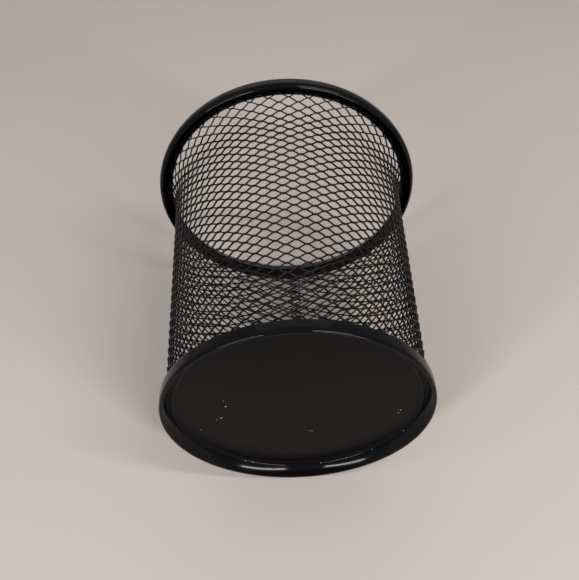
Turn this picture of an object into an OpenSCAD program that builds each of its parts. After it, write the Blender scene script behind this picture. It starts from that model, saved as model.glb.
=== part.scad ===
// Round desk cup for pens: a wall of expanded steel mesh between a rolled rim bead and a
// folded base bead, closed at the foot by a pressed steel plate. Millimetres, +Z up, with
// the origin at the centre of the ring that the cup stands on.

/* [Cup] */
// Overall height, from the table to the top of the rim bead
cup_h = 100; // [80:1:140]
// Gap between the pressed and rolled sheet pieces where they nest
sheet_fit = 0.05; // [0.03:0.01:0.1]
// Gap on each side of the mesh where it enters a bead
mesh_fit = 0.15; // [0.12:0.01:0.25]

/* [Rim bead] */
// Outer diameter of the rim bead
rim_d = 92.8; // [88:0.2:104]
// Sheet thickness of the rolled rim bead
rim_t = 0.5; // [0.4:0.05:0.6]
// Width of the rounded shoulder outside the crown
shoulder_w = 2; // [1.6:0.1:2.4]
// Height of the rounded shoulder outside the crown
shoulder_h = 4; // [3.2:0.1:4.8]
// Outer radius of the bend from the crown to the inner leg
crown_bend = 1.2; // [1:0.05:1.5]
// How far the inner leg leans inwards, in degrees
leg_lean = 27; // [20:1:30]
// Depth of the outer leg's lip below the top of the cup
outer_leg_h = 6; // [5.2:0.1:7]
// Depth of the inner leg's lip below the top of the cup
inner_leg_h = 3.7; // [3.2:0.1:4.2]
// How far the mesh reaches into the rim bead, above the inner lip
rim_grip = 1; // [0.8:0.1:1.2]

/* [Base bead] */
// Outer diameter of the base bead
base_d = 81.2; // [76:0.2:84]
// Sheet thickness of the folded base bead
base_t = 0.45; // [0.35:0.05:0.5]
// Height of the outer leg's lip above the table
base_leg_h = 3.8; // [3.4:0.1:4.6]
// Width of the rounded foot, from the outer leg to its lowest circle
foot_w = 0.8; // [0.75:0.05:1]
// Height of the rounded foot
foot_h = 1.2; // [1:0.05:1.25]
// Depth of the flat that the base bead stands on
foot_flat = 0.1; // [0.05:0.05:0.15]
// How far the bowed inner leg leans inwards at its foot, in degrees
foot_lean = 46; // [42:1:50]
// How far it leans inwards at its lip, in degrees
lip_lean = 30; // [26:1:34]

/* [Base plate] */
// Sheet thickness of the base plate
plate_t = 0.5; // [0.3:0.05:0.6]
// Height of the plate's underside above the table
plate_z = 3.9; // [3.7:0.1:5]
// Inner radius of the bend at the plate's edge
plate_bend = 1.75; // [1.5:0.05:1.9]
// Angle through which the edge is bent down
plate_turn = 68; // [62:1:72]

/* [Mesh wall] */
// Diameter of the middle of the mesh where the flare to the rim starts
neck_d = 78.9; // [76:0.1:82]
// Height of the flare, from the neck to the rim bead's inner lip
flare_h = 15; // [10:0.5:24]
// Thickness of the mesh, from its inner face to the ridge of its strands
mesh_t = 0.7; // [0.5:0.05:0.8]
// Number of openings in one turn of the wall
mesh_n = 22; // [20:1:26]
// Number of half rows of openings up the wall
mesh_rows = 29; // [26:1:32]
// Width of one strand of the mesh
strand_w = 1.2; // [0.9:0.1:1.5]

/* [Hidden] */
finish = "#1d1d20";
bend_fn = 48;
turn_fn = 180;
arc_step = 7.5;
foot_arcs = 16;
bow_arcs = 6;
// The rim bead's crown, the highest circle of the cup
crown_r = rim_d / 2 - shoulder_w;
// Where the inner leg leaves the bend, and its lip on the side of the mesh
leg_top = bend_point(180 - leg_lean);
inner_lip = leg_top - (leg_top.y - (cup_h - inner_leg_h)) * [tan(leg_lean), 1];
lip_back = inner_lip + rim_t * [cos(leg_lean), -sin(leg_lean)];
// The middle of the base bead's elliptic foot, which stands on its flat, and how far round it the
// sheet goes before the inner leg leaves it
foot_c = [base_d / 2 - foot_w, foot_h - foot_flat];
foot_turn = 180 - atan(tan(foot_lean) * foot_h / foot_w);
leg_foot = foot_point(-foot_turn);
// Height of the plate's bend and of the lower corner of its edge
bend_z = plate_z - plate_bend;
edge_z = bend_z + plate_bend * cos(plate_turn);
// The inner leg is bowed to one radius, and its lip lies just below the plate's edge
leg_bow = (edge_z - 4 * sheet_fit - leg_foot.y) / (sin(foot_lean) - sin(lip_lean));
bow_c = leg_foot - leg_bow * round_normal(180 + foot_lean);
// Distance of the plate's bend and edge from the axis
edge_r = bow_point(180 + lip_lean).x + sheet_fit;
bend_r = edge_r - plate_bend * sin(plate_turn);
// The middle of the mesh at its foot, clear of the plate's edge and of the inner leg's back
foot_r = edge_r + plate_t * sin(plate_turn) + mesh_fit + mesh_t / 2;
foot_z = bow_c.y + mesh_fit
    - sqrt(pow(leg_bow - base_t, 2) - pow(bow_c.x - foot_r + mesh_t / 2, 2));
// The middle of the mesh at its neck, and its upper end inside the rim bead
neck_r = neck_d / 2;
neck_z = lip_back.y - flare_h;
head_z = inner_lip.y + rim_grip;
// Slope of the straight wall, and what the flare adds to it where it clears the inner lip
wall_slope = (neck_r - foot_r) / (neck_z - foot_z);
flare_out = lip_back.x + mesh_fit + mesh_t / 2 - foot_r - wall_slope * (lip_back.y - foot_z);
// The mesh's cut ends lie inside each bead, a little past the last row
mesh_end = strand_w / 2;
row_h = (head_z - foot_z - 2 * mesh_end) / mesh_rows;
half_turn = 180 / mesh_n;
// Half the width of one diamond of the mesh, and how much of it the opening takes
half_w = PI * neck_r / mesh_n;
open_share = 1 - strand_w / 2 * norm([half_w, row_h]) / (half_w * row_h);
// Places round an opening, anticlockwise from outside: right, up, left, down
side_i = [1, 0, -1, 0];
side_j = [0, 1, 0, -1];
// Numbers of points: the ridges, then the corners of whole openings
ridges = mesh_n * (mesh_rows + 1);
corners = 4 * mesh_n * (mesh_rows - 1);

// Radius of the middle of the mesh at height z
function wall_r(z) =
    foot_r + wall_slope * (z - foot_z)
    + (z > neck_z ? flare_out * pow((z - neck_z) / flare_h, 3) : 0);

// A point i half pitches round the wall, at height z and radius r
function turned(i, z, r) = [r * cos(i * half_turn), r * sin(i * half_turn), z];

// Height of row j, whole or not
function row_z(j) = foot_z + mesh_end + j * row_h;

// A point on the ridge of the strands, and one on the inner face
function ridge(i, j) = turned(i, row_z(j), wall_r(row_z(j)) + mesh_t / 2);
function inner(i, j) = turned(i, row_z(j), wall_r(row_z(j)) - mesh_t / 2);

// The inner point of a cut strand's end, above the head or below the foot
function cut_end(i, z) = turned(i, z, wall_r(z) - mesh_t / 2);

// Strands cross at places whose i + j is even, and openings lie where it is odd
function crossing_i(j, k) = 2 * k + j % 2;
function opening_i(j, k) = 2 * k + (j + 1) % 2;

mesh_points = concat(
    [for (j = [0:mesh_rows], k = [0:mesh_n - 1]) ridge(crossing_i(j, k), j)],
    [for (j = [1:mesh_rows - 1], k = [0:mesh_n - 1], s = [0:3])
        inner(opening_i(j, k) + open_share * side_i[s], j + open_share * side_j[s])],
    [for (k = [0:mesh_n - 1]) inner(opening_i(0, k), open_share)],
    [for (k = [0:mesh_n - 1]) cut_end(crossing_i(0, k), foot_z)],
    [for (k = [0:mesh_n - 1]) inner(opening_i(mesh_rows, k), mesh_rows - open_share)],
    [for (k = [0:mesh_n - 1]) cut_end(crossing_i(mesh_rows, k), head_z)]
);

// Place of column i in its row, all the way round
function column(i) = floor(((i + 2 * mesh_n) % (2 * mesh_n)) / 2);

// Number of the ridge point at (i, j)
function ridge_no(i, j) = j * mesh_n + column(i);

// Number of corner s of the opening at (i, j). The half openings at the foot and at the head
// have one corner of their own, and share the cut ends at their sides
function corner_no(i, j, s) =
    j == 0
        ? ridges + corners + (s == 1 ? column(i) : mesh_n + column(i + side_i[s]))
    : j == mesh_rows
        ? ridges + corners + 2 * mesh_n + (s == 3 ? column(i) : mesh_n + column(i + side_i[s]))
    : ridges + 4 * ((j - 1) * mesh_n + column(i)) + s;

// Edges of the opening at row j: a half opening has two
function edges(j) = j == 0 ? [0, 1] : j == mesh_rows ? [2, 3] : [0:3];

// The slope of a strand from its ridge down to edge s of the opening at (i, j)
function slope(i, j, s) =
    let (t = (s + 1) % 4)
    [
        ridge_no(i + side_i[s], j + side_j[s]),
        corner_no(i, j, s),
        corner_no(i, j, t),
        ridge_no(i + side_i[t], j + side_j[t])
    ];

// The inner faces of the strands that rise to the right and to the left from (i, j)
function right_strand(i, j) =
    [corner_no(i + 1, j, 2), corner_no(i + 1, j, 1), corner_no(i, j + 1, 0), corner_no(i, j + 1, 3)];
function left_strand(i, j) =
    [corner_no(i - 1, j, 0), corner_no(i, j + 1, 3), corner_no(i, j + 1, 2), corner_no(i - 1, j, 1)];

// The inner face of the knuckle where strands cross
function knuckle(i, j) =
    [corner_no(i + 1, j, 2), corner_no(i, j + 1, 3), corner_no(i - 1, j, 0), corner_no(i, j - 1, 1)];

mesh_quads = concat(
    [for (j = [0:mesh_rows], k = [0:mesh_n - 1], s = edges(j)) slope(opening_i(j, k), j, s)],
    [for (j = [0:mesh_rows - 1], k = [0:mesh_n - 1]) right_strand(crossing_i(j, k), j)],
    [for (j = [0:mesh_rows - 1], k = [0:mesh_n - 1]) left_strand(crossing_i(j, k), j)],
    [for (j = [1:mesh_rows - 1], k = [0:mesh_n - 1]) knuckle(crossing_i(j, k), j)]
);

// Points at angle a on the rim bead's elliptic shoulder, on the round bend inside it, on the base
// bead's elliptic foot and on its bowed inner leg
function shoulder_point(a) = [crown_r + shoulder_w * cos(a), cup_h - shoulder_h + shoulder_h * sin(a)];
function bend_point(a) = [crown_r + crown_bend * cos(a), cup_h - crown_bend + crown_bend * sin(a)];
function foot_point(a) = foot_c + [foot_w * cos(a), foot_h * sin(a)];
function bow_point(a) = bow_c + leg_bow * round_normal(a);

// Directions square to the sheet, on a round and on an ellipse w wide and h high
function round_normal(a) = [cos(a), sin(a)];
function ellipse_normal(a, w, h) =
    let (n = [h * cos(a), w * sin(a)])
    n / norm(n);

// The rim bead's face from the outer lip over the crown to the inner lip, as pairs of a point
// and the direction square to the sheet
rim_face = concat(
    [[[rim_d / 2, cup_h - outer_leg_h], round_normal(0)]],
    [for (a = [0:arc_step:90]) [shoulder_point(a), ellipse_normal(a, shoulder_w, shoulder_h)]],
    [for (a = [90 + arc_step:arc_step:179 - leg_lean]) [bend_point(a), round_normal(a)]],
    [for (p = [leg_top, inner_lip]) [p, round_normal(180 - leg_lean)]]
);

// The base bead's face from its outer lip round the foot to the inner lip
base_face = concat(
    [[[base_d / 2, base_leg_h], round_normal(0)]],
    [for (k = [0:foot_arcs])
        let (a = -k / foot_arcs * foot_turn)
        [foot_point(a), ellipse_normal(a, foot_w, foot_h)]],
    [for (k = [1:bow_arcs])
        let (a = 180 + foot_lean - k / bow_arcs * (foot_lean - lip_lean))
        [bow_point(a), round_normal(a)]]
);

// The outline of a sheet with one face given as such pairs
module sheet_outline(face, sheet) {
    back = [for (f = face) f[0] - sheet * f[1]];
    polygon(concat([for (f = face) f[0]], [for (n = [len(back) - 1:-1:0]) back[n]]));
}

// A channel rolled from sheet, open downwards, over the flared edge of the mesh
module rim_ring() {
    color(finish)
        rotate_extrude($fn = turn_fn)
            sheet_outline(rim_face, rim_t);
}

module mesh_wall() {
    color(finish)
        polyhedron(
            points = mesh_points,
            faces = [for (q = mesh_quads, h = [0, 1]) [q[0], q[1 + h], q[2 + h]]]
        );
}

// A channel folded from sheet, open upwards, under the foot of the mesh and the plate's edge
module base_ring() {
    color(finish)
        rotate_extrude($fn = turn_fn)
            difference() {
                sheet_outline(base_face, base_t);
                // The flat it stands on
                translate([foot_c.x - foot_h, -foot_h])
                    square([2 * foot_h, foot_h]);
            }
}

// The plate's bent edge, between its upper face and the line at the end of the bend
module plate_edge() {
    reach = 2 * (plate_bend + plate_t);
    intersection() {
        difference() {
            circle(r = plate_bend + plate_t, $fn = bend_fn);
            circle(r = plate_bend, $fn = bend_fn);
        }
        polygon([[0, 0], [0, reach], [reach, reach], [reach, reach / tan(plate_turn)]]);
    }
}

// A pressed plate, raised above the table, whose edge is bent down inside the mesh
module base_plate() {
    color(finish)
        rotate_extrude($fn = turn_fn)
            union() {
                translate([0, plate_z])
                    square([bend_r, plate_t]);
                translate([bend_r, bend_z])
                    plate_edge();
            }
}

rim_ring();
mesh_wall();
base_ring();
base_plate();
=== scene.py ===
"""Looks of the round mesh pen cup: expanded steel wall, rolled rim and base beads, pressed base plate.

All lengths are metres in the cup's own frame: +Z runs along the axis from the base to the mouth.
The photograph shows the cup lying on its side, so its table is a pale sheet along the +Y side,
and the camera stands at -Y, below the plane of the base. A second pale sheet lies at z = 0 for
views of the cup standing up. Each sheet is seen from its front only.
"""

import math

import bpy
import numpy as np
from mathutils import Euler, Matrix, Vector


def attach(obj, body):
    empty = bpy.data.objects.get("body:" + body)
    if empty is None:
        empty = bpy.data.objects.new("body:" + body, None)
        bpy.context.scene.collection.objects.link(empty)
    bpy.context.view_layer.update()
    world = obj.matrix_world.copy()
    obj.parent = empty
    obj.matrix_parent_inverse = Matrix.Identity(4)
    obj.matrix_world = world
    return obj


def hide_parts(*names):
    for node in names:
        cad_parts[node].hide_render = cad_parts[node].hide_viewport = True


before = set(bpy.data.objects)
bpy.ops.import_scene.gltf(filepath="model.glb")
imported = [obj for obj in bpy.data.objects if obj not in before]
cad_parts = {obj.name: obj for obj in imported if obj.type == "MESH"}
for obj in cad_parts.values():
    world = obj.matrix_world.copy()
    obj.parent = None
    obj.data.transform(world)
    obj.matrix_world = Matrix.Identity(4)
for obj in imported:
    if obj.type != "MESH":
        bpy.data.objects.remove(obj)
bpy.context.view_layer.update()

MM = 0.001
TAU = 2 * math.pi

# ---- sizes of the real cup, in millimetres -------------------------------------------------------
CUP_H = 100.0
# Rim bead: a sheet rolled over the edge of the mesh, open downwards
RIM_R, RIM_SHEET = 46.4, 0.5       # outer radius and sheet
SHOULDER_W, SHOULDER_H = 2.0, 4.0  # the rounded shoulder outside the crown
CROWN_BEND = 1.2                   # radius from the crown to the inner leg
LEG_LEAN, INNER_LEG_H = 27.0, 3.7  # degrees, and depth of the inner lip below the top
OUTER_CURL = 58.0                  # degrees that the outer leg curls in under the shoulder
RIM_WELD_AT, BASE_WELD_AT = -92.0, 88.5

# Base bead: a sheet folded over the lower edge of the mesh, open upwards
BASE_R, BASE_SHEET = 40.6, 0.45    # outer radius and sheet
BASE_LEG_H = 3.8                   # height of its outer leg's lip
FOOT_W, FOOT_H, FOOT_FLAT = 0.8, 1.2, 0.1  # the rounded foot inside the outer leg, and its flat
FOOT_LEAN, LIP_LEAN = 46.0, 30.0   # degrees that the inner leg leans in, at its foot and at its lip
LEG_BOW = 11.47                    # radius to which the inner leg is bowed

# Base plate: its underside, sheet and bend, and where the edge of the bend lies
PLATE_UNDER, PLATE_T, PLATE_BEND, PLATE_TURN, EDGE_R = 3.9, 0.5, 1.75, 68.0, 37.45

# Wall: radius of the middle of the mesh at the foot and at the neck, and how far it flares
FOOT_R, FOOT_Z, NECK_R, NECK_Z = 38.5, 1.6, 39.45, 81.1
FLARE_H, FLARE_OUT = 15.0, 3.07

# Expanded mesh: half of the long pitch as an angle round the cup, half of the short pitch along it
HALF_PITCH = math.radians(4.3603)
HALF_PITCHES = 84
ROW = 1.7097
ROW_AT = 59.163                    # height of one row of openings
COLUMN_AT = math.radians(-87.235)  # angle of one opening of that row
FIRST_COLUMN = -43
LOWEST_ROW, HIGHEST_ROW = -33, 22  # rows hidden inside the two beads
STRAND_W, STRAND_T = 0.44, 0.35
LAP_RISE = 0.28                    # how far the lapped ends stand apart from the middle of the wall

# ---- the photograph's camera ---------------------------------------------------------------------
PHOTO_W, PHOTO_H = 579, 580
CAMERA_AT = (0.0, -186.5, -112.0)
CAMERA_TURN = (126.265, 2.526, 1.559)
FOCAL_PX = 738.4
LENS_CENTRE_PX = (298.2, 347.9)
SENSOR = 36.0

# ---- the coat ------------------------------------------------------------------------------------
RUB_MM = 14                        # size of the patches where hands have rubbed
RUB_GLOSS = (0.85, 1.2)            # shares of the coat's roughness between which they vary
THIN_FADE, THIN_GLOSS = 0.3, 0.45  # where the coat drew thin: height of the change, share of roughness
CHIP = "a09c96"
# Chips on the disc as x, y and size; chips on the plate's bent edge as angle and size
DISC_CHIPS = ((-21.4, -0.8, 0.5), (-23.4, 5.5, 0.55), (-24.9, 6.5, 0.3), (-21.8, -4.0, 0.3),
              (31.0, 6.3, 0.45), (30.4, 7.8, 0.35), (3.2, 15.9, 0.3), (3.9, 16.2, 0.3),
              (-30.4, 12.0, 0.35))
EDGE_CHIPS = ((119.5, 0.3), (115.5, 0.28), (79.7, 0.25), (65.9, 0.25), (51.0, 0.25), (28.4, 0.28))
EDGE_CHIP_AT = 0.8                 # how far round the bend they lie, from 0 at the disc to 1

# ---- the studio, in metres and watts -------------------------------------------------------------
SHEET_SIZE, TABLE_GAP_MM = 6.0, 0.1
FLAG_AT, FLAG_DISTANCE, FLAG_SIZE = -76, 0.75, 0.9
WORLD_COLOUR, WORLD_STRENGTH = "bdb9b6", 0.85
# Name, azimuth, elevation, distance, width, height, power and colour
LAMPS = (("key_right", 27, -18, 0.8, 0.4, 0.05, 1.7, "fff8f2"),
         ("key_left", -40, -18, 0.8, 0.4, 0.05, 0.3, "f6f8ff"),
         ("low_right", 40, -46, 0.8, 0.48, 0.05, 4.0, "fff8f2"),
         ("low_left", -46, -46, 0.8, 0.43, 0.05, 3.2, "f6f8ff"),
         ("top_fill", 0, 55, 1.0, 0.9, 0.7, 0.9, "ffffff"))


def srgb(code):
    """Linear colour of an sRGB hex code such as 1d1d20."""
    parts = [int(code[i:i + 2], 16) / 255 for i in (0, 2, 4)]
    return (*[c / 12.92 if c <= 0.04045 else ((c + 0.055) / 1.055) ** 2.4 for c in parts], 1.0)


def add(tree, kind, links=None, **settings):
    """Adds one node: settings name its properties or input sockets, links map an input to an output."""
    node = tree.nodes.new(kind)
    for name, value in settings.items():
        if name in node.bl_rna.properties:
            setattr(node, name, value)
        else:
            node.inputs[name.replace("_", " ")].default_value = value
    for name, output in (links or {}).items():
        tree.links.new(output, node.inputs[name])
    return node


def new_material(name):
    """An empty node material and its tree."""
    material = bpy.data.materials.new(name)
    material.use_nodes = True
    material.node_tree.nodes.clear()
    return material, material.node_tree


# ---- finishes ------------------------------------------------------------------------------------
def powder_coat(name, colours, roughness, peel_mm, peel_depth_mm, specular, chips=(), thin_below=None):
    """Black polyester powder coat baked on steel: a smooth skin with a shallow orange peel, which
    makes long highlights waver. Its gloss and tone vary a little where hands have rubbed it. Chips
    are pale specks where the coat has flaked, each given as x, y, z and size in millimetres. Below
    the height thin_below, in millimetres, the sheet is bent and the coat drew thin and smoother."""
    material, tree = new_material(name)
    where = add(tree, "ShaderNodeTexCoord").outputs["Object"]
    peel = add(tree, "ShaderNodeTexNoise", {"Vector": where}, Scale=1000 / peel_mm, Detail=2.0)
    bump = add(tree, "ShaderNodeBump", {"Height": peel.outputs["Fac"]},
               Strength=1.0, Distance=peel_depth_mm * MM)
    rub = add(tree, "ShaderNodeTexNoise", {"Vector": where}, Scale=1000 / RUB_MM, Detail=4.0)
    gloss = add(tree, "ShaderNodeMapRange", {"Value": rub.outputs["Fac"]}, From_Min=0.3,
                From_Max=0.7, To_Min=roughness * RUB_GLOSS[0], To_Max=roughness * RUB_GLOSS[1])
    if thin_below:
        height = add(tree, "ShaderNodeSeparateXYZ", {"Vector": where}).outputs["Z"]
        thin = add(tree, "ShaderNodeMapRange", {"Value": height}, From_Max=thin_below * MM,
                   From_Min=(thin_below - THIN_FADE) * MM, To_Min=THIN_GLOSS, To_Max=1.0)
        gloss = add(tree, "ShaderNodeMath", {0: gloss.outputs["Result"], 1: thin.outputs["Result"]},
                    operation="MULTIPLY")
    tone = add(tree, "ShaderNodeMix", {"Factor": rub.outputs["Fac"]}, data_type="RGBA")
    tone.inputs["A"].default_value = srgb(colours[0])
    tone.inputs["B"].default_value = srgb(colours[1])
    skin = tone.outputs["Result"]
    for x, y, z, size in chips:
        gap = add(tree, "ShaderNodeVectorMath", {0: where}, operation="DISTANCE")
        gap.inputs[1].default_value = (x * MM, y * MM, z * MM)
        inside = add(tree, "ShaderNodeMath", {0: gap.outputs["Value"]}, operation="LESS_THAN")
        inside.inputs[1].default_value = size / 2 * MM
        speck = add(tree, "ShaderNodeMix", {"Factor": inside.outputs[0], "A": skin},
                    data_type="RGBA")
        speck.inputs["B"].default_value = srgb(CHIP)
        skin = speck.outputs["Result"]
    shader = add(tree, "ShaderNodeBsdfPrincipled",
                 {"Base Color": skin, "Roughness": gloss.outputs[0],
                  "Normal": bump.outputs["Normal"]},
                 IOR=1.5, Specular_IOR_Level=specular)
    add(tree, "ShaderNodeOutputMaterial", {"Surface": shader.outputs["BSDF"]})
    return material


def one_sided_paint(name, colour):
    """Matt pale paint on the front of a sheet; from its back the sheet lets light through."""
    material, tree = new_material(name)
    paint = add(tree, "ShaderNodeBsdfPrincipled", Base_Color=srgb(colour), Roughness=0.85)
    clear = add(tree, "ShaderNodeBsdfTransparent")
    side = add(tree, "ShaderNodeNewGeometry").outputs["Backfacing"]
    mix = add(tree, "ShaderNodeMixShader",
              {"Fac": side, 1: paint.outputs["BSDF"], 2: clear.outputs["BSDF"]})
    add(tree, "ShaderNodeOutputMaterial", {"Surface": mix.outputs["Shader"]})
    return material


# ---- surfaces ------------------------------------------------------------------------------------
def grid_mesh(name, points, wrap_u, wrap_v, flip=False, sharp=None, caps=False):
    """One mesh from an array of points [sheet, u, v, xyz] in millimetres: neighbours on each sheet's
    grid are joined by four-sided faces, and u or v closes on itself where it wraps. With caps, the
    two open ends of a tube that wraps in v are closed by one face each."""
    sheets, nu, nv, _ = points.shape
    index = np.arange(sheets * nu * nv).reshape(sheets, nu, nv)
    if wrap_u:
        index = np.concatenate([index, index[:, :1]], 1)
    if wrap_v:
        index = np.concatenate([index, index[:, :, :1]], 2)
    quads = np.stack([index[:, :-1, :-1], index[:, 1:, :-1], index[:, 1:, 1:], index[:, :-1, 1:]], -1)
    quads = quads.reshape(-1, 4)
    if caps:
        ends = [index[:, 0, :nv][:, ::-1], index[:, -1, :nv]]
        quads = np.concatenate([quads, *[e.reshape(-1, 4) for e in ends]])
    if flip:
        quads = quads[:, ::-1]
    mesh = bpy.data.meshes.new(name)
    mesh.vertices.add(sheets * nu * nv)
    mesh.vertices.foreach_set("co", (points.reshape(-1) * MM).astype(np.float32))
    mesh.loops.add(quads.size)
    mesh.loops.foreach_set("vertex_index", quads.reshape(-1).astype(np.int32))
    mesh.polygons.add(len(quads))
    mesh.polygons.foreach_set("loop_start", np.arange(0, quads.size, 4, dtype=np.int32))
    mesh.polygons.foreach_set("use_smooth", np.ones(len(quads), bool))
    mesh.update(calc_edges=True)
    mesh.validate()
    if sharp:
        mesh.set_sharp_from_angle(angle=math.radians(sharp))
    return mesh


def piece(name, mesh, node, material):
    """Shows a mesh in place of a CAD node, with a finish."""
    obj = bpy.data.objects.new(name, mesh)
    bpy.context.scene.collection.objects.link(obj)
    mesh.materials.append(material)
    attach(obj, "root")
    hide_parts(node)
    return obj


def bend(centre, semi, start, end, steps):
    """Pairs of a point (r, z) on an ellipse and the direction square to it there. Angles in
    degrees, 0 outwards and 90 up; semi holds the half axes along r and z."""
    t = np.radians(np.linspace(start, end, steps))
    spot = np.array(centre) + np.array(semi) * np.stack([np.cos(t), np.sin(t)], 1)
    square = np.stack([semi[1] * np.cos(t), semi[0] * np.sin(t)], 1)
    return np.stack([spot, square / np.linalg.norm(square, axis=1, keepdims=True)], 1)


def sheet_outline(face, thickness):
    """Closed outline (r, z) of a bent sheet: its face, a half round at the lip, its back, which lies
    one thickness behind the face, and a half round at the first lip."""
    front, square = face[:, 0], face[:, 1]
    back = front - thickness * square
    turn = np.radians(np.linspace(0, 180, 9)[1:-1])[:, None]
    along = np.stack([-square[:, 1], square[:, 0]], 1)
    half = thickness / 2
    last = (front[-1] + back[-1]) / 2 + half * (np.cos(turn) * square[-1] + np.sin(turn) * along[-1])
    first = (front[0] + back[0]) / 2 - half * (np.cos(turn) * square[0] + np.sin(turn) * along[0])
    return np.concatenate([front, last, back[::-1], first])


def turned(name, outline, angles, centre=(0, 0), dip=None, sharp=35):
    """A closed outline (r, z) turned round the axis through the given angles. dip, if given, draws
    every point towards a centre (r, z) by a share that depends on the angle."""
    share = dip(angles)[:, None] if dip else 0 * angles[:, None]
    r = centre[0] + (outline[None, :, 0] - centre[0]) * (1 - share)
    z = centre[1] + (outline[None, :, 1] - centre[1]) * (1 - share)
    a = angles[:, None]
    points = np.stack([r * np.cos(a), r * np.sin(a), z], -1)[None]
    return grid_mesh(name, points, True, True, flip=True, sharp=sharp)


def angles_with_weld(at_degrees, count=288):
    """Angles once round, evenly spread, and closer together at a butt weld."""
    even = np.linspace(0, 360, count, endpoint=False)
    near = at_degrees % 360 + np.linspace(-1.2, 1.2, 17)
    keep = np.abs((even - at_degrees + 180) % 360 - 180) > 1.3
    return np.radians(np.sort(np.concatenate([even[keep], near % 360])))


def ground_weld(at_degrees, width_degrees, share):
    """The ends of a rolled bead are welded and ground flush, which leaves a shallow hollow across
    it: a Gaussian in the angle."""
    def dip(angles):
        gap = (np.degrees(angles) - at_degrees + 180) % 360 - 180
        return share * np.exp(-(gap / width_degrees) ** 2)
    return dip


def rim_channel():
    """Steel strip rolled over the flared edge of the mesh: the outer leg curls in under the shoulder,
    an ellipse rises to the crown, and a round bend turns down to a short straight inner leg."""
    crown = RIM_R - SHOULDER_W
    middle = (crown, CUP_H - SHOULDER_H)
    shoulder = bend(middle, (SHOULDER_W, SHOULDER_H), 0, 90, 24)
    curl = bend(middle, (SHOULDER_W, SHOULDER_W), -OUTER_CURL, 0, 16)[:-1]
    inner = bend((crown, CUP_H - CROWN_BEND), (CROWN_BEND, CROWN_BEND), 90, 180 - LEG_LEAN, 12)[1:]
    start, square = inner[-1]
    drop = start[1] - (CUP_H - INNER_LEG_H)
    lip = start - drop * np.array([math.tan(math.radians(LEG_LEAN)), 1])
    face = np.concatenate([curl, shoulder, inner, [[lip, square]]])
    dip = ground_weld(RIM_WELD_AT, 0.4, 0.022)
    return turned("rim_bead", sheet_outline(face, RIM_SHEET), angles_with_weld(RIM_WELD_AT), middle, dip)


def base_channel():
    """The same joint at the foot, upside down: an inner leg bowed to one radius, a narrow elliptic
    foot, pressed flat where it stands, and an upright outer leg."""
    middle = (BASE_R - FOOT_W, FOOT_H - FOOT_FLAT)
    start = math.degrees(math.atan(math.tan(math.radians(FOOT_LEAN)) * FOOT_H / FOOT_W))
    foot = bend(middle, (FOOT_W, FOOT_H), 180 + start, 360, 40)
    bow = foot[0, 0] - LEG_BOW * foot[0, 1]
    inner = bend(bow, (LEG_BOW, LEG_BOW), 180 + LIP_LEAN, 180 + FOOT_LEAN, 20)[:-1]
    outer = np.array([[[BASE_R, BASE_LEG_H], [1, 0]]])
    outline = sheet_outline(np.concatenate([inner, foot, outer]), BASE_SHEET)
    outline[:, 1] = np.maximum(outline[:, 1], 0)
    dip = ground_weld(BASE_WELD_AT, 0.45, 0.022)
    return turned("base_bead", outline, angles_with_weld(BASE_WELD_AT), middle, dip)


def wall_radius(z):
    """Radius of the middle of the mesh: a slight cone, and a cubic flare above the neck."""
    slope = (NECK_R - FOOT_R) / (NECK_Z - FOOT_Z)
    t = np.clip((z - NECK_Z) / FLARE_H, 0, None)
    return FOOT_R + slope * (z - FOOT_Z) + FLARE_OUT * t ** 3


def row_height(row):
    """Height of a row of openings, whole or not: the rows are evenly spaced along the sheet, so the
    flare brings them closer in height. The length along the sheet is summed in short steps."""
    z = np.linspace(0, 100, 2001)
    length = np.concatenate([[0], np.cumsum(np.hypot(np.diff(z), np.diff(wall_radius(z))))])
    return np.interp(np.interp(ROW_AT, z, length) + ROW * row, length, z)


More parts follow.
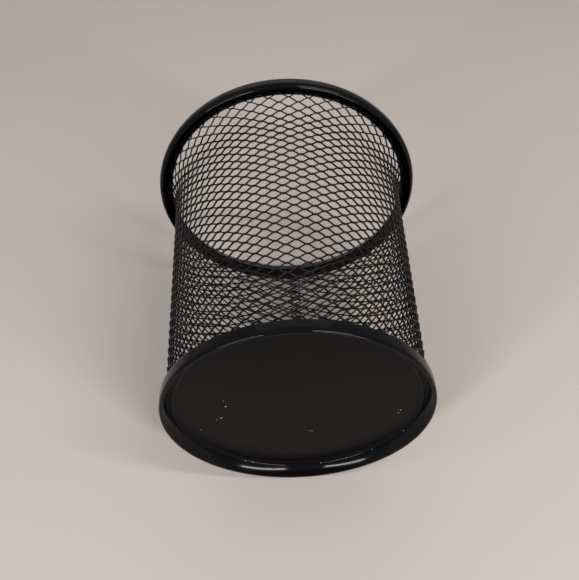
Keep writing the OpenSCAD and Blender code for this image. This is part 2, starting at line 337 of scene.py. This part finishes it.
def expanded_wall():
    """Raised expanded steel. Between two rows of slits the sheet is one ribbon that zigzags: at one
    half pitch it is joined to the ribbon above and at the next to the ribbon below. The slitting
    tool pushes it square to its own width, so its width leans inwards towards the mouth by the
    angle whose cosine is strand width over row pitch, and the zigzag runs square to that."""
    lean = math.acos(STRAND_W / ROW)
    # ten steps in each full pitch: how far down the zigzag the ribbon is, from 0 to 1
    step_at = np.array([0.0, 0.04, 0.1, 0.4, 0.46, 0.5, 0.54, 0.6, 0.9, 0.96])
    step_down = np.array([0.0, 0.04, 0.15, 0.85, 0.96, 1.0, 0.96, 0.85, 0.15, 0.04])
    pitches = np.arange(HALF_PITCHES // 2)
    at = np.append((pitches[:, None] + step_at).ravel(), HALF_PITCHES / 2)
    down = np.append(np.tile(step_down, len(pitches)), 0.0)

    rows = np.arange(LOWEST_ROW, HIGHEST_ROW)[:, None]
    # ribbon of row n lies between rows n and n + 1 and is up where column plus upper row is odd
    starts_up = (FIRST_COLUMN + rows + 1) % 2 == 1
    down = np.where(starts_up, down, 1 - down)
    angle = COLUMN_AT + HALF_PITCH * (FIRST_COLUMN + 2 * at)[None, :] + 0 * rows
    middle = row_height(rows + 1 - down)
    slope = wall_radius(middle + 0.5) - wall_radius(middle - 0.5)
    along = np.stack([slope, np.ones_like(slope)], -1)          # r and z parts, up the wall
    along /= np.linalg.norm(along, axis=-1, keepdims=True)
    out = np.stack([along[..., 1], -along[..., 0]], -1)
    width = math.cos(lean) * along - math.sin(lean) * out        # leans inwards towards the mouth
    push = math.sin(lean) * along + math.cos(lean) * out
    # the ribbon's middle lies half a strand to its own side of the bond centres of the two rows
    shift = (down * 2 - 1)[..., None] * STRAND_W / 2 * width
    # a lap over the first and last 12 degrees: one end runs outside the other
    lap, lap_end = (np.degrees(d) / 12 for d in (angle - angle[:, :1], angle[:, -1:] - angle))
    rise = LAP_RISE * (ease(1 - lap_end) - ease(1 - lap))
    centre = np.stack([wall_radius(middle) + rise, middle], -1) + shift
    # the strand's own direction on the plane of the push, for the faces that carry its thickness
    run = np.gradient(centre[..., 0] * angle, axis=1)
    climb = np.gradient(middle, axis=1) / math.sin(lean)
    length = np.hypot(run, climb)
    face_push, face_side = run / length, -climb / length
    corners = np.array([[-1, -1], [1, -1], [1, 1], [-1, 1]]) / 2
    w = corners[:, 0] * STRAND_W
    t = corners[:, 1] * STRAND_T
    rz = (centre[:, :, None, :] + w[:, None] * width[:, :, None, :]
          + (t * face_push[..., None])[..., None] * push[:, :, None, :])
    a = angle[..., None] + t * face_side[..., None] / rz[..., 0]
    points = np.stack([rz[..., 0] * np.cos(a), rz[..., 0] * np.sin(a), rz[..., 1]], -1)
    return grid_mesh("wall_mesh", points, False, True, caps=True)


def ease(t):
    """Smooth step from 0 to 1."""
    t = np.clip(t, 0, 1)
    return t * t * (3 - 2 * t)


def pressed_plate():
    """Disc raised above the table, whose edge is bent down in a round to just above the base bead's
    inner lip. The grid's pole is a hole of 0.02 mm in the middle of the disc, finer than the coat."""
    turn = math.radians(PLATE_TURN)
    centre = (EDGE_R - PLATE_BEND * math.sin(turn), PLATE_UNDER - PLATE_BEND)
    disc = np.linspace(0.02, centre[0], 24)
    above, below = PLATE_BEND + PLATE_T, PLATE_BEND
    over = np.stack([disc, np.full_like(disc, PLATE_UNDER + PLATE_T)], 1)
    under = np.stack([disc[::-1], np.full_like(disc, PLATE_UNDER)], 1)
    bend_over = bend(centre, (above, above), 90, 90 - PLATE_TURN, 14)[1:, 0]
    bend_under = bend(centre, (below, below), 90 - PLATE_TURN, 90, 14)[:-1, 0]
    outline = np.concatenate([over, bend_over, bend_under, under])
    return turned("base_disc", outline[::-1], np.linspace(0, TAU, 256, endpoint=False))


def on_edge(angle, size):
    """A chip on the base plate's bent edge: its place on the bend's inner face, and its size."""
    turn, a = math.radians(PLATE_TURN), math.radians(angle)
    r = EDGE_R - PLATE_BEND * (math.sin(turn) - math.sin(turn * EDGE_CHIP_AT))
    z = PLATE_UNDER - PLATE_BEND * (1 - math.cos(turn * EDGE_CHIP_AT))
    return r * math.cos(a), r * math.sin(a), z, size


def build_pieces():
    """The four pieces of the cup, each in place of its CAD node."""
    chips = [(x, y, PLATE_UNDER, size) for x, y, size in DISC_CHIPS]
    chips += [on_edge(angle, size) for angle, size in EDGE_CHIPS]
    bead = powder_coat("gloss_black_powder_coat", ("060608", "0a0a0d"), 0.1, 1.6, 0.003, 0.12)
    strand = powder_coat("gloss_black_coat_on_expanded_steel", ("0a0909", "100f0f"), 0.3, 0.9, 0.006,
                         0.14)
    plate = powder_coat("smooth_black_powder_coat", ("090808", "0c0b0b"), 0.28, 0.8, 0.003, 0.07,
                        chips, PLATE_UNDER - 0.05)
    piece("rim_bead", rim_channel(), "rim_ring", bead)
    piece("base_bead", base_channel(), "base_ring", bead)
    piece("base_disc", pressed_plate(), "base_plate", plate)
    piece("wall_sleeve", expanded_wall(), "mesh_wall", strand)


# ---- studio --------------------------------------------------------------------------------------
def sheet(name, centre, normal, size, material, camera_only):
    """A flat square of the stage with its front towards normal."""
    half = size / 2
    mesh = bpy.data.meshes.new(name)
    turn = Vector(normal).to_track_quat("Z", "Y")
    corners = [Vector(centre) + turn @ Vector((x, y, 0)) * half
               for x, y in ((-1, -1), (1, -1), (1, 1), (-1, 1))]
    mesh.from_pydata([tuple(c) for c in corners], [], [(0, 1, 2, 3)])
    mesh.materials.append(material)
    obj = bpy.data.objects.new(name, mesh)
    bpy.context.scene.collection.objects.link(obj)
    if camera_only:
        obj.visible_diffuse = obj.visible_glossy = False
        obj.visible_transmission = obj.visible_shadow = False
    return obj


def light_box(name, azimuth, elevation, distance, width, height, watts, colour):
    """A soft box seen from the cup at an azimuth from -Y towards +X and an elevation towards +Z."""
    a, e = math.radians(azimuth), math.radians(elevation)
    way = Vector((math.sin(a) * math.cos(e), -math.cos(a) * math.cos(e), math.sin(e)))
    lamp = bpy.data.lights.new(name, "AREA")
    lamp.shape = "RECTANGLE"
    lamp.size, lamp.size_y, lamp.energy = width, height, watts
    lamp.color = srgb(colour)[:3]
    obj = bpy.data.objects.new(name, lamp)
    obj.location = Vector((0, 0, 0.05)) + way * distance
    obj.rotation_euler = way.to_track_quat("Z", "Y").to_euler()
    bpy.context.scene.collection.objects.link(obj)


def build_studio():
    """Table and floor sheets, a dark flag far below the base, soft boxes and an even pale world."""
    table = one_sided_paint("pale_table_paint", "bab4ae")
    floor = one_sided_paint("pale_floor_paint", "dcd6d0")
    # the table touches both beads on the +Y side: the base at its outer leg, the rim at its shoulder
    lean = math.atan2(RIM_R - BASE_R, CUP_H - SHOULDER_H - FOOT_H)
    normal = (0, -math.cos(lean), math.sin(lean))
    at = (0, (BASE_R + TABLE_GAP_MM) * MM, FOOT_H * MM)
    sheet("table_sheet", at, normal, SHEET_SIZE, table, False)
    sheet("floor_sheet", (0, 0, -TABLE_GAP_MM * MM), (0, 0, 1), SHEET_SIZE, floor, True)

    card, tree = new_material("black_flag_cloth")
    cloth = add(tree, "ShaderNodeBsdfPrincipled", Base_Color=srgb("101010"), Roughness=0.95)
    add(tree, "ShaderNodeOutputMaterial", {"Surface": cloth.outputs["BSDF"]})
    e = math.radians(FLAG_AT)
    way = Vector((0, -math.cos(e), math.sin(e)))
    sheet("flag", way * FLAG_DISTANCE, -way, FLAG_SIZE, card, False)

    for lamp in LAMPS:
        light_box(*lamp)

    world = bpy.data.worlds.new("pale_studio")
    world.use_nodes = True
    back = world.node_tree.nodes["Background"]
    back.inputs["Color"].default_value = srgb(WORLD_COLOUR)
    back.inputs["Strength"].default_value = WORLD_STRENGTH
    bpy.context.scene.world = world


def build_camera():
    """The photograph's camera: place and turn in the cup's frame, and the shift that puts the
    lens's own centre where the perspective has it."""
    lens = bpy.data.cameras.new("camera")
    lens.sensor_width = SENSOR
    long_side = max(PHOTO_W, PHOTO_H)
    lens.lens = FOCAL_PX * SENSOR / long_side
    lens.shift_x = (PHOTO_W / 2 - LENS_CENTRE_PX[0]) / long_side
    lens.shift_y = (LENS_CENTRE_PX[1] - PHOTO_H / 2) / long_side
    lens.clip_start = 0.01
    camera = bpy.data.objects.new("camera", lens)
    camera.location = Vector(CAMERA_AT) * MM
    camera.rotation_euler = Euler([math.radians(v) for v in CAMERA_TURN])
    bpy.context.scene.collection.objects.link(camera)
    bpy.context.scene.camera = camera


build_camera()
build_studio()
build_pieces()
bpy.context.scene.view_settings.view_transform = "Standard"
